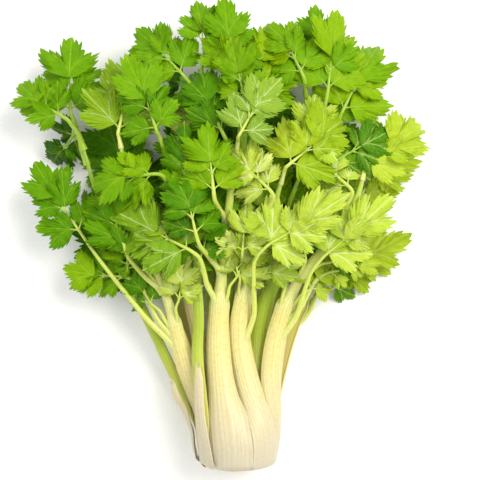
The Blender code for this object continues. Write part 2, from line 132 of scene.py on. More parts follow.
def make_mesh(name, points, faces, values, materials, slots=None):
    """A smooth object from points in mm and arrays of faces; values are stored on its points."""
    mesh = bpy.data.meshes.new(name)
    corners = np.concatenate([part.ravel() for part in faces])
    sizes = np.concatenate([np.full(len(part), part.shape[1]) for part in faces])
    mesh.vertices.add(len(points))
    mesh.vertices.foreach_set("co", (np.asarray(points) * MM).ravel())
    mesh.loops.add(len(corners))
    mesh.loops.foreach_set("vertex_index", corners.astype(np.int32))
    mesh.polygons.add(len(sizes))
    mesh.polygons.foreach_set("loop_start", np.concatenate([[0], np.cumsum(sizes)[:-1]]).astype(np.int32))
    if slots is not None:
        mesh.polygons.foreach_set("material_index", np.asarray(slots, np.int32))
    for key, value in values.items():
        mesh.attributes.new(key, "FLOAT", "POINT").data.foreach_set("value", np.asarray(value, np.float32))
    for material in materials:
        mesh.materials.append(material)
    mesh.update(calc_edges=True)
    mesh.validate()
    mesh.shade_smooth()
    mesh.set_sharp_from_angle(angle=CRISP_ANGLE)
    piece = bpy.data.objects.new(name, mesh)
    bpy.context.scene.collection.objects.link(piece)
    return piece


def loft_faces(stations, around, first=0):
    """Quads between closed rings of points that are stored one after another."""
    row, place = np.meshgrid(np.arange(stations - 1), np.arange(around), indexing="ij")
    start, after = row * around + place, row * around + (place + 1) % around
    return first + np.stack([start, after, after + around, start + around], -1).reshape(-1, 4)


def cap_faces(first, around, flip):
    """Quads across one closed ring, like the rungs of a ladder."""
    rung = np.arange(around // 2 - 1)
    cap = first + np.stack([rung, rung + 1, around - 2 - rung, around - 1 - rung], -1)
    return cap[:, ::-1] if flip else cap


def cut_flesh():
    """Knife-cut celery flesh, moist and cream with browned string ends: it looks soft and a little glossy."""
    material = new_material("knife_cut_celery_flesh")
    tree = material.node_tree
    place = in_units_of(tree, STRING_DOTS_MM)
    dots = add(tree, "ShaderNodeTexVoronoi", {"Vector": place}).outputs["Distance"]
    inputs = {"Vector": in_units_of(tree, BLOOM_MM), "Detail": 2.0}
    patches = add(tree, "ShaderNodeTexNoise", inputs).outputs["Fac"]
    bloom = eased(tree, patches, 0.3, 0.75)
    cream = mix(tree, bloom, linear("#EADFC4"), linear("#DDCDA2"))
    dotted = mix(tree, eased(tree, dots, 0.2, 0.06, 0.0, 0.4), cream, linear("#C2A468"))
    colour = mix(tree, eased(tree, painted(tree, "rim"), 0.74, 0.97), dotted, linear("#CDB478"))
    inputs = {"Vector": in_units_of(tree, FLESH_SPECKLE_MM), "Detail": 3.0}
    speckle = add(tree, "ShaderNodeTexNoise", inputs).outputs["Fac"]
    inputs = {"Height": speckle, "Strength": 0.5, "Distance": 0.4 * MM}
    relief = add(tree, "ShaderNodeBump", inputs).outputs["Normal"]
    shader = add(tree, "ShaderNodeBsdfPrincipled", {
        "Base Color": colour, "Roughness": 0.52, "IOR": 1.4, "Subsurface Weight": 0.2,
        "Subsurface Radius": (0.004, 0.003, 0.0015), "Subsurface Scale": 1.0, "Normal": relief})
    add(tree, "ShaderNodeOutputMaterial", {"Surface": shader.outputs[0]})
    return material


def build_crown():
    """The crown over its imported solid: the cut face from the middle out, then the side up to the stalks."""
    low, high = (np.array(corner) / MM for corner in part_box("crown"))
    radius = (high[0] - low[0]) / 2
    centre = (low + high) / 2
    cut_y = low[1] + CUT_SET_BACK
    around = np.linspace(0, 2 * math.pi, CROWN_SIDES, endpoint=False)
    rows = [(share * CUT_SHARE, cut_y - CUT_DOME * (1 - share**2))
            for share in np.linspace(0.03, 1, CUT_ROWS)]
    for share in np.linspace(0, 1, SIDE_ROWS)[1:]:
        bend = math.sin(min(1, share * EDGE_BEND) * math.pi / 2)
        rows.append((CUT_SHARE + (1 - CUT_SHARE) * bend - TOP_TUCK * share**6,
                     cut_y + (high[1] - cut_y) * share))
    rings = []
    for share, y in rows:
        reach = (radius + OUT_OF_ROUND * np.cos(around * 5 + 1)) * share
        reach = reach + SCAR_HEIGHT * np.cos(around * ROOT_SCARS) * share**6
        uneven = CUT_WANDER * np.sin(around * 3) * share
        rings.append(np.stack([centre[0] + reach * np.sin(around), y + uneven,
                               centre[2] + reach * np.cos(around)], -1))
    last = (len(rows) - 1) * CROWN_SIDES
    faces = [loft_faces(len(rows), CROWN_SIDES), cap_faces(0, CROWN_SIDES, True),
             cap_faces(last, CROWN_SIDES, False)]
    rim = np.repeat([share for share, _ in rows], CROWN_SIDES)
    crown = make_mesh("root_crown", np.concatenate(rings), faces, {"rim": rim}, [cut_flesh()])
    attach(crown, "root")
    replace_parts(crown, "crown")
    return centre


crown_centre = build_crown()


# ---- Stalks and stubs ----
# Each stalk is one juicy leaf stem, crescent-shaped in section, with strings that stand out as ribs on its
# outer face. It grows from the crown as a wide sheath and ends past a joint, where it divides into thin
# stems. Two outer stalks were snapped off low, and only their torn stubs are left.

STATION_STEP = 3.0  # between the sections of a stalk's mesh
HEART_RADIUS = 3.0  # a stalk that starts nearer the crown's centre than this faces up
ROUND_RATIO = 1.15  # of width to depth, below which a section's widest direction is not clear
LEAST_BULGE = 0.05  # of the half width, so that no outer face is flat
EDGE_THICKNESS = 2.4
EDGE_SHARE = 0.35  # the most of a stalk's thickness that its edges take
EDGE_TURNS = np.radians([28, 56, 82])  # places round each rounded edge
# How lit the rounded edges and the inner face are painted, on the ribs' scale from groove to top: low values
# give them painted shade.
EDGE_PAINTED_LIGHT = 0.3
INSIDE_PAINTED_LIGHT = 0.2

RIB_PITCH = 3.0
RIB_HEIGHT = 0.27
FEWEST_RIBS = 6
PAIRS_PER_RIB = 8  # of points, on the outer and the inner face
RIB_SHARPNESS = 1.3
RIB_LEVEL = 0.4  # share of a rib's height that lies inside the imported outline
RIB_DRIFTS = [(1.3, 4.1, 1), (0.8, 9.7, 2)]  # how ribs wander: radians, radians across, start for each rib
RIB_UNEVENNESS = 0.25
RIB_END = ([-5, 12], [1.0, 0.55])  # mm past the joint, and the share of the ribs' height there
RIB_START = ([0, 25], [0.35, 1.0])  # and mm from the foot

COLLAR_SWELL, COLLAR_LENGTH = 0.12, 6.0  # share of the width by which the joint stands out
NECK_PINCH, NECK_LENGTH, NECK_PAST = 0.06, 5.0, 11.0  # and by which it is pinched in past the joint
DEPTH_SWELL = 0.6  # share of the swelling that also deepens the stalk
WIDTH_WANDER, LINE_WANDER = 0.012, 0.3
TAPER_LENGTH, TAPER_END = 30, 0.66  # of the last stretch, which divides into thin stems
SHEATH_PRESS = 0.9  # by which the wet sheaths are pressed wider against each other
SHEATH_REACH = [0, 70, 130]  # mm up the stalk: pressed to the second, free from the third
SHEATH_FOOT = [(0.9, 0.3, 0.96), (2.0, 1.1, 0.88), (3.1, 2.4, 0.75), (3.9, 4.0, 0.5)]  # down, in, thickness
ROUNDED_TIP = [(0.9, 0.9), (1.6, 0.7), (2.0, 0.4)]  # beyond the end, share of the section
TORN_TIP = [(0.5, 0.97), (1.0, 0.8), (0.8, 0.3)]  # share of the tear's length, share of the section
TEAR_LENGTH, TEAR_ROUGHNESS, LEAST_TEAR = 5.0, 0.6, 0.6
STUB_JOINT = 3  # times a stub's length, to where its joint was
STUB_LEANS = {"stub_left": 3.2}  # so that the stub rests on the green stalk beside it
STUB_LEAN_REACH = [10, 50]

STREAK_ACROSS_MM = 2.6
STREAK_ALONG_MM = 190
STREAK_OFFSET_MM = 97.0  # from one stalk's streaks to the next one's
INSIDE_OFFSET_MM = 50
BLOTCH_MM = 16
GRAIN_MM = 0.9


def unit(vectors):
    """The same directions, one unit long."""
    return vectors / np.linalg.norm(vectors, axis=-1, keepdims=True)


def sections_of(name, starts):
    """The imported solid's sections in order. starts gives possible first sections, as point numbers."""
    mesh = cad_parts[name].data
    corners = np.array([vertex.co for vertex in mesh.vertices]) / MM
    points, owner = np.unique(np.round(corners, 3), axis=0, return_inverse=True)
    near = [set() for _ in points]
    for edge in mesh.edges:
        first, second = (owner.reshape(-1)[index] for index in edge.vertices)
        near[first].add(second)
        near[second].add(first)

    def levels(ring):
        found, seen = [], set()
        while ring:
            found.append(ring)
            seen |= ring
            ring = set().union(*(near[index] for index in ring)) - seen
        return found

    for start in starts(points, levels):
        found = levels(set(start))
        if len({len(ring) for ring in found}) == 1:
            return [points[sorted(ring)] for ring in found]
    raise ValueError(f"{name} has no clear sections")


def between(stations, places):
    """Rows of values at fractional places, on a smooth curve through those at the stations."""
    stations = np.asarray(stations, float)
    start = np.clip(places.astype(int), 0, len(stations) - 2)
    share = (places - start)[:, None]
    padded = np.concatenate([[2 * stations[0] - stations[1]], stations, [2 * stations[-1] - stations[-2]]])
    p0, p1, p2, p3 = (padded[start + offset] for offset in range(4))
    bend = (2 * p0 - 5 * p1 + 4 * p2 - p3) * share**2 + (3 * p1 - p0 - 3 * p2 + p3) * share**3
    return p1 + ((p2 - p0) * share + bend) / 2


def lowest_section(points, levels):
    """The twelve points at the foot of a stalk."""
    return [np.argsort(points[:, 1])[:12]]


def crescent_stations(name):
    """By section: centre, side and outward directions, half width, and heights of top, foot and tips."""
    sections = sections_of(name, lowest_section)
    centres = np.array([section.mean(0) for section in sections])
    tangents = unit(np.gradient(centres, axis=0))
    outward = (centres[0] - crown_centre) * (1, 0, 1)
    if np.linalg.norm(outward) < HEART_RADIUS:
        outward = np.array([0, 0, 1])
    rows = []
    for section, centre, tangent in zip(sections, centres, tangents):
        flat = section - centre
        flat = flat - np.outer(flat @ tangent, tangent)
        _, spread, axes = np.linalg.svd(flat)
        widest = rows[-1][3:6] if rows and spread[0] < ROUND_RATIO * spread[1] else axes[0]
        side = unit(widest - tangent * (widest @ tangent))
        facing = np.cross(side, tangent)
        if facing @ outward < 0:
            side, facing = -side, -facing
        outward = facing
        across, heights = flat @ side, flat @ facing
        order = np.argsort(np.abs(across))
        top, foot = max(heights[order[:2]]), min(heights[order[:2]])
        rows.append([*centre, *side, *facing, np.abs(across).max(), top, foot, heights[order[-2:]].mean()])
    return np.array(rows)


def crescents(rows, ribs, rib_height):
    """The outline at each station, as matching points on the outer and inner face, and the ribs' relief,
    which later paints the grooves and the rounded edges in shade.
    """
    centre, side, facing = rows[:, None, 0:3], rows[:, None, 3:6], rows[:, None, 6:9]
    half, top, foot, tip = (rows[:, number, None] for number in (9, 10, 11, 12))
    turn = 2 * np.arctan2(np.maximum(top - tip, half * LEAST_BULGE), half)
    radius = half / np.sin(turn)
    edge = np.minimum(EDGE_THICKNESS, (top - foot) * EDGE_SHARE)
    share = np.linspace(-1, 1, ribs * PAIRS_PER_RIB + 1)[None, :]
    drift = sum(amount * np.sin(share * rate + start * ribs) for amount, rate, start in RIB_DRIFTS)
    ridge = (0.5 + 0.5 * np.cos(math.pi * ribs * (share + 1) + drift)) ** RIB_SHARPNESS
    ridge = ridge * (1 - RIB_UNEVENNESS + RIB_UNEVENNESS * np.sin(share * 13.0 + ribs * 1.7))
    smooth_edge = np.clip((1 - np.abs(share)) * 8, 0.2, 1)
    grown = radius + rib_height * (ridge - RIB_LEVEL) * smooth_edge
    outer = np.stack([grown * np.sin(share * turn), top - radius + grown * np.cos(share * turn)])
    low_tip = top - radius + (radius - edge) * np.cos(turn)
    inner = np.stack([(radius - edge) * np.sin(turn) * share, foot + (low_tip - foot) * share**2])
    for end in (-1, 1):
        radial = np.stack([end * np.sin(turn), np.cos(turn)])
        along = np.stack([end * np.cos(turn), -np.sin(turn)])
        middle = np.stack([np.zeros_like(top), top - radius]) + (radius - edge / 2) * radial
        high = middle + edge / 2 * (radial * np.cos(EDGE_TURNS) + along * np.sin(EDGE_TURNS))
        low = middle + edge / 2 * (-radial * np.cos(EDGE_TURNS) + along * np.sin(EDGE_TURNS))
        if end < 0:
            outer, inner = np.dstack([high[:, :, ::-1], outer]), np.dstack([low[:, :, ::-1], inner])
        else:
            outer, inner = np.dstack([outer, high]), np.dstack([inner, low])
    # Painted shade: the rounded edges get a low value, so they take the darker groove colour.
    relief = np.pad(ridge[0], len(EDGE_TURNS), constant_values=EDGE_PAINTED_LIGHT)
    faces = [centre + side * face[0][:, :, None] + facing * face[1][:, :, None] for face in (outer, inner)]
    return faces[0], faces[1], relief


def close_ends(outer, inner, rows, tear):
    """Adds the sections that bend the foot in to the crown, and round off or tear the tip."""
    tangent = unit(rows[1, :3] - rows[0, :3])
    middle = (outer[0] + inner[0]) / 2
    inward = (crown_centre - middle) * (1, 0, 1)
    inward = inward / np.maximum(np.linalg.norm(inward, axis=1, keepdims=True), 6.0)
    feet = [[middle + (face[0] - middle) * thickness - tangent * down + inward * into
             for down, into, thickness in SHEATH_FOOT[::-1]] for face in (outer, inner)]
    ahead = unit(rows[-1, :3] - rows[-2, :3])
    end = rows[-1, :3]
    tips = [[end + (face[-1] - end) * share + ahead * beyond for beyond, share in ROUNDED_TIP]
            for face in (outer, inner)]
    if tear is not None:
        spine = (outer[-1] + inner[-1]) / 2
        tips = [[spine + (face[-1] - spine) * share + ahead * tear[:, None] * reach
                 for reach, share in TORN_TIP] for face in (outer, inner)]
    return [np.concatenate([foot, face, tip]) for foot, face, tip in zip(feet, (outer, inner), tips)]


def stalk_skin(name, shade_and_blotch_colours, colours, roughness):
    """Fresh stalk skin: thin wax over wet flesh, so light sinks in and the ribs carry soft highlights, partly
    painted: painted shade darkens the grooves between ribs, the rounded edges and the inner face.
    """
    material = new_material(name)
    tree = material.node_tree
    climb = painted(tree, "climb")
    place = add(tree, "ShaderNodeCombineXYZ", {"X": painted(tree, "across"), "Y": painted(tree, "along")})
    scale = (1 / STREAK_ACROSS_MM, 1 / STREAK_ALONG_MM, 1)
    streak_place = add(tree, "ShaderNodeMapping", {"Vector": place.outputs[0], "Scale": scale})
    inputs = {"Vector": streak_place.outputs[0], "Detail": 3.0}
    streak = add(tree, "ShaderNodeTexNoise", inputs).outputs["Fac"]
    ridge_ramp = add(tree, "ShaderNodeValToRGB", {"Fac": climb}, colours)
    shade_and_blotch_ramp = add(tree, "ShaderNodeValToRGB", {"Fac": climb}, shade_and_blotch_colours)
    # Painted shade and highlight: low ribs, edges and the inner face take the darker shade colours, rib tops
    # the lighter ones.
    wander = add(tree, "ShaderNodeMath", {0: painted(tree, "ridge"), 1: streak}, operation="ADD")
    lift = eased(tree, wander.outputs[0], 0.05, 1.1, 0.25, 1.0)
    colour = mix(tree, lift, shade_and_blotch_ramp.outputs[0], ridge_ramp.outputs[0])
    inputs = {"Vector": in_units_of(tree, BLOTCH_MM), "Detail": 3.0}
    blotches = add(tree, "ShaderNodeTexNoise", inputs).outputs["Fac"]
    shade = eased(tree, blotches, 0.42, 0.72, 0.0, 0.45)
    colour = mix(tree, shade, colour, shade_and_blotch_ramp.outputs[0])
    # Painted shade over the whole inner face, where it faces the stalk behind.
    inside = eased(tree, painted(tree, "inside"), 0.2, 1.0, 0.0, 0.8)
    colour = mix(tree, inside, colour, shade_and_blotch_ramp.outputs[0])
    inputs = {"Vector": in_units_of(tree, GRAIN_MM), "Detail": 2.0}
    grain = add(tree, "ShaderNodeTexNoise", inputs).outputs["Fac"]
    inputs = {"Height": grain, "Strength": 0.14, "Distance": 0.3 * MM}
    fine_relief = add(tree, "ShaderNodeBump", inputs).outputs["Normal"]
    inputs = {"Height": streak, "Strength": 0.3, "Distance": 0.6 * MM, "Normal": fine_relief}
    relief = add(tree, "ShaderNodeBump", inputs).outputs["Normal"]
    shader = add(tree, "ShaderNodeBsdfPrincipled", {
        "Base Color": colour, "Roughness": roughness, "IOR": 1.42, "Subsurface Weight": 0.35,
        "Subsurface Radius": (0.006, 0.004, 0.0009), "Subsurface Scale": 1.0, "Normal": relief})
    add(tree, "ShaderNodeOutputMaterial", {"Surface": shader.outputs[0]})
    return material


# Darker colours up each stalk, for painted shade in the grooves, on the edges and on the inner face, and for
# random blotches; then the lit colours of the rib tops.
PALE_SHADE_AND_BLOTCH_COLOURS = [(0.0, "#BEB293"), (0.12, "#C4B888"), (0.3, "#CABB6B"), (0.46, "#C3B755"), (0.54, "#B5BB57"),
                (0.7, "#B6C444"), (1.0, "#9CB830")]
PALE_RIDGES = [(0.0, "#C7C0AA"), (0.12, "#D0C5A4"), (0.3, "#DBD195"), (0.46, "#DBD28A"), (0.52, "#D6D493"),
               (0.7, "#CBD46A"), (1.0, "#B0C650")]
GREEN_SHADE_AND_BLOTCH_COLOURS = [(0.0, "#CFC070"), (0.15, "#BEC048"), (0.35, "#9AAE18"), (0.5, "#8AA812"), (0.7, "#80A614"),
                 (1.0, "#7AA41C")]
GREEN_RIDGES = [(0.0, "#DCD29C"), (0.15, "#C9CC68"), (0.35, "#A9BA3A"), (0.5, "#9EB834"), (0.7, "#98B636"),
                (1.0, "#94B63A")]
pale_skin = stalk_skin("waxy_pale_stalk_skin", PALE_SHADE_AND_BLOTCH_COLOURS, PALE_RIDGES, 0.30)
green_skin = stalk_skin("waxy_green_stalk_skin", GREEN_SHADE_AND_BLOTCH_COLOURS, GREEN_RIDGES, 0.34)


def build_stalk(node, seed, torn=False):
    """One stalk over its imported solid. Its points hold their place up the stalk and across its ribs."""
    rng = np.random.default_rng(seed)
    stations = crescent_stations(node)
    lengths = np.concatenate([[0], np.cumsum(np.linalg.norm(np.diff(stations[:, :3], axis=0), axis=1))])
    count = max(12, int(lengths[-1] / STATION_STEP))
    along = np.linspace(0, lengths[-1], count)
    rows = between(stations, np.interp(along, lengths, np.arange(len(stations))))
    rows[:, 3:6], rows[:, 6:9] = unit(rows[:, 3:6]), unit(rows[:, 6:9])
    past_sheath = len(stations) // 4  # the joint is where the stalk narrows most, beyond its sheath
    drops = stations[past_sheath:-1, 9] / stations[past_sheath + 1:, 9]
    joint = lengths[-1] * STUB_JOINT if torn else lengths[past_sheath + int(np.argmax(drops))]
    past = along - joint
    swell = COLLAR_SWELL * np.exp(-(past / COLLAR_LENGTH) ** 2)
    swell = swell - NECK_PINCH * np.exp(-((past - NECK_PAST) / NECK_LENGTH) ** 2)
    rows[:, 9] *= 1 + swell + between(rng.normal(0, WIDTH_WANDER, (12, 1)), np.linspace(0, 11, count))[:, 0]
    rows[:, 10:13] *= (1 + DEPTH_SWELL * swell)[:, None]
    if not torn:
        taper = np.interp(along, [lengths[-1] - TAPER_LENGTH, lengths[-1]], [1, TAPER_END])
        rows[:, 9:13] *= taper[:, None]
    rows[:, 9] += np.interp(along, SHEATH_REACH, [SHEATH_PRESS, SHEATH_PRESS, 0])
    rows[:, :3] += between(rng.normal(0, LINE_WANDER, (10, 3)), np.linspace(0, 9, count))
    rows[:, 0] += STUB_LEANS.get(node, 0.0) * np.interp(along, STUB_LEAN_REACH, [0, 1])
    middle = rows[count // 3]
    arc = 2 * middle[9] * (1 + 0.6 * ((middle[10] - middle[12]) / middle[9]) ** 2)  # of a shallow curve
    ribs = max(FEWEST_RIBS, round(arc / RIB_PITCH))
    fade = np.interp(past, *RIB_END)[:, None] * np.interp(along, *RIB_START)[:, None]
    outer, inner, ridge = crescents(rows, ribs, RIB_HEIGHT * fade)
    pairs = outer.shape[1]
    tear = None
    if torn:
        rough = between(rng.normal(0, TEAR_ROUGHNESS, (14, 1)), np.linspace(0, 13, pairs))[:, 0]
        tear = TEAR_LENGTH * np.abs(rough) + LEAST_TEAR
    outer, inner = close_ends(outer, inner, rows, tear)
    rings = np.concatenate([outer, inner[:, ::-1]], axis=1)
    total, around = rings.shape[:2]
    feet = len(SHEATH_FOOT)
    along = np.pad(along, (feet, total - feet - count), mode="edge")
    climb = np.where(along < joint, along / joint, 1 + (along - joint) / max(lengths[-1] - joint, 1)) / 2
    across = np.linspace(-1, 1, pairs) * arc / 2
    # ridge and inside carry the painted shade of the grooves, the edges and the inner face.
    values = {"climb": np.repeat(climb, around), "along": np.repeat(along, around) + seed * STREAK_OFFSET_MM,
              "across": np.tile(np.concatenate([across, across[::-1] + INSIDE_OFFSET_MM]), total),
              "ridge": np.tile(np.concatenate([ridge, np.full(pairs, INSIDE_PAINTED_LIGHT)]), total),
              "inside": np.tile(np.repeat([0.0, 1.0], pairs), total)}
    faces = [loft_faces(total, around), cap_faces(0, around, True),
             cap_faces((total - 1) * around, around, False)]
    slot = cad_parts[node].data.materials[0].name
    skin = green_skin if slot == "stalk_green" else pale_skin
    piece = make_mesh(node.replace("stalk_", "ribbed_stalk_").replace("stub_", "torn_stub_"),
                      rings.reshape(-1, 3), faces, values, [skin])
    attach(piece, "root")
    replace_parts(piece, node)
    stalk_lines[node] = rows, int(joint / lengths[-1] * (count - 1))


stalk_lines = {}
stalk_nodes = sorted(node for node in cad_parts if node.startswith("stalk_"))
for number, node in enumerate(stalk_nodes):
    build_stalk(node, number + 1)
for number, node in enumerate(sorted(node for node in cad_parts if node.startswith("stub_"))):
    build_stalk(node, number + 31, torn=True)


# ---- Leaves ----
# Each compound leaf grows on a thin side stem of its stalk. The stem carries a three-lobed end leaflet and
# one or two pairs below it, all coarsely toothed, soft and thin, with the veins sunk into the upper side.

LOBE_ANGLES = (-36, 0, 36)
LOBE_REACH = (0.80, 1.0, 0.80)
LOBE_SPREAD = 19.0  # degrees that a step of one in TOOTH_PLACES turns
LOBE_WANDER, LOBE_SIZES = 2.5, (0.92, 1.06)
TOOTH_PLACES = ((-1.6, -1.18, -0.8, -0.4, 0, 0.38, 0.74), (-0.78, -0.4, 0, 0.4, 0.78),
                (-0.74, -0.38, 0, 0.4, 0.8, 1.18, 1.6))
TOOTH_WANDER, TOOTH_SIZES, TOOTH_DEPTHS = 0.04, (0.96, 1.04), (0.05, 0.10)
TOOTH_FALL, TOOTH_FALL_POWER = 0.25, 1.3  # teeth shorten away from a lobe's tip
TOOTH_BULGE = 0.012
NOTCH_PLACE = 0.3  # of the way from a tooth's tip to the next tip toward the lobe's end
SINUS_REACH, SINUS_SIZES = 0.56, (0.85, 1.1)  # the gaps between lobes
BASE_TURN, BASE_REACH = 6, 0.7  # the plain corners beside the leaflet's base
OUTLINE_WIDTH = 0.97  # of the outline that these make, for a length of 1

SIDE_VEIN_START = 0.16  # of the midrib's length, where the side lobes' veins leave it
FINE_VEIN_STARTS = (0.66, 0.4, 0.1)  # for a tooth at a lobe's tip, less for each step from it, and the least
MIDRIB = (1.0, 1.0, 0.55)  # strength, width and taper
FINE_VEIN = (0.7, 0.6, 0.2)
GROOVE_WIDTH, GROOVE_GROWTH = 0.9, 0.018  # in mm, and for each mm of the leaflet's length
VEIN_THICKNESS = 0.25

RAYS_PER_SIDE = 3
REACH_SHARES = np.linspace(0, 1, 16) ** 0.85 * 0.96 + 0.04
LEAFLET_THICKNESS = 0.34
RIM_THICKNESS = 0.1
SHAPE_VARIES, SHAPE_WANDER = (0.7, 1.3), 0.015
RIM_WAVES = (3, 5, 8, 12)
CRUMPLES, CRUMPLE_HEIGHT, CRUMPLE_MM = 5, 0.22, (1.3, 3)
PITCH, ROLL = (0.03, 0.16), (0, 0.26)  # of a leaflet on its stem: mean and spread
LOBE_TILT, LOBE_HALF_WIDTH = 0.08, 20
TINT_WANDER = 0.11
FULL_TURN = 6.3

STEM_SIDES = 14
STEM_STEP = 2.2
STEM_RIBS, STEM_RIB_HEIGHT, STEM_DEPTH = 5, 0.07, 0.88
STEM_HALF_WIDTHS = [3.7, 2.8, 2.0, 1.3, 0.5]  # from where it leaves the stalk to the end of the midrib
STEM_PLACES = [0, 0.12, 0.5, 0.8, 1.0]
TWIG_STEP, TWIG_HALF_WIDTHS = 1.4, (0.95, 0.4)
STEM_STRAIGHTNESS = 0.55
SLIM_STEM, SMALL_STEM = 0.72, 0.66  # share of those widths: at a stalk's tip, and for a small leaf
STEM_CLIMB = 0.58  # where a side stem's colours begin, on a stalk's scale of 0 to 1

RACHIS_SHARES = {1: 0.40, 2: 0.46}  # of the leaf's length, by its pairs of side leaflets
END_LEAFLET = (1.12, 0.78)  # the reach of its tip, and its width, for a leaf 1 long and 1 wide
PAIR_PLACES = (0.05, 0.28)
PAIR_TURNS = {"broad": (46, 34), "other": (54, 42)}  # degrees off the midrib
PAIR_SIZES = (1.16, 1.0)
PAIR_LIMITS = {"broad": (0.56, 0.46), "other": (0.68, 0.58)}  # of the leaf's length

# cup: how far the rim rises. fold: how far the halves rise from the midrib. droop: how far the tip falls, and
# the sides. wave: of the rim. All are shares of the leaflet's length. quilt: swelling between veins, in mm.
LEAF_SHAPES = {
    "open": dict(cup=0.02, fold=0.12, droop=0.22, fall=0.26, wave=0.065, quilt=1.35),
    "soft": dict(cup=-0.02, fold=0.04, droop=0.30, fall=0.34, wave=0.08, quilt=1.35),
    "turned": dict(cup=0.02, fold=-0.05, droop=0.24, fall=0.22, wave=0.06, quilt=-0.35),
    "broad": dict(cup=0.05, fold=0.10, droop=0.22, fall=0.18, wave=0.05, quilt=0.8),
    "shell": dict(cup=-0.05, fold=-0.02, droop=0.45, fall=0.45, wave=0.09, quilt=2.3),
    "curled": dict(cup=0.20, fold=0.10, droop=0.10, fall=0.05, wave=0.14, quilt=2.0),
    "limp": dict(cup=-0.10, fold=-0.16, droop=0.40, fall=0.10, wave=0.06, quilt=1.0),
}

# By leaf: its tint, from 0 for the darkest of its colours to 1 for the lightest, and its shape.
LEAF_LOOKS = {
    "back_middle_1": (0.25, "open"), "back_middle_2": (0.3, "open"), "back_left_1": (0.3, "open"),
    "back_left_2": (0.35, "soft"), "back_right_1": (0.8, "open"), "back_right_2": (0.95, "soft"),
    "inner_back_right_1": (0.55, "open"), "inner_back_left_3": (0.02, "limp"),
    "inner_back_left_2": (0.6, "open"), "far_left_3": (0.0, "limp"), "far_left_1": (0.62, "open"),
    "left_4": (0.62, "open"), "left_3": (0.45, "open"), "right_1": (0.95, "soft"),
    "right_4": (0.9, "broad"), "inner_right_1": (0.85, "soft"), "inner_right_2": (0.75, "open"),
    "inner_right_3": (0.0, "soft"), "inner_left_1": (0.85, "soft"), "inner_front_2": (0.6, "open"),
    "inner_front_1": (0.85, "soft"), "left_1": (0.85, "turned"), "far_left_2": (0.6, "open"),
    "left_2": (0.45, "soft"), "inner_back_left_1": (0.62, "open"), "inner_back_right_2": (0.75, "soft"),
    "inner_front_3": (0.22, "soft"), "inner_front_4": (0.65, "open"), "front_4": (0.05, "turned"),
    "right_3": (0.6, "shell"), "inner_right_4": (0.5, "soft"), "front_right_1": (0.7, "soft"),
    "front_right_2": (0.65, "shell"), "slim_2": (0.3, "limp"), "slim_1": (0.5, "open"),
    "slim_3": (0.65, "open"), "heart_1": (0.6, "curled"), "front_2": (0.8, "soft"),
    "right_2": (0.6, "broad"), "front_right_3": (0.55, "broad"), "front_3": (0.3, "soft"),
    "front_1": (0.65, "turned"),
}

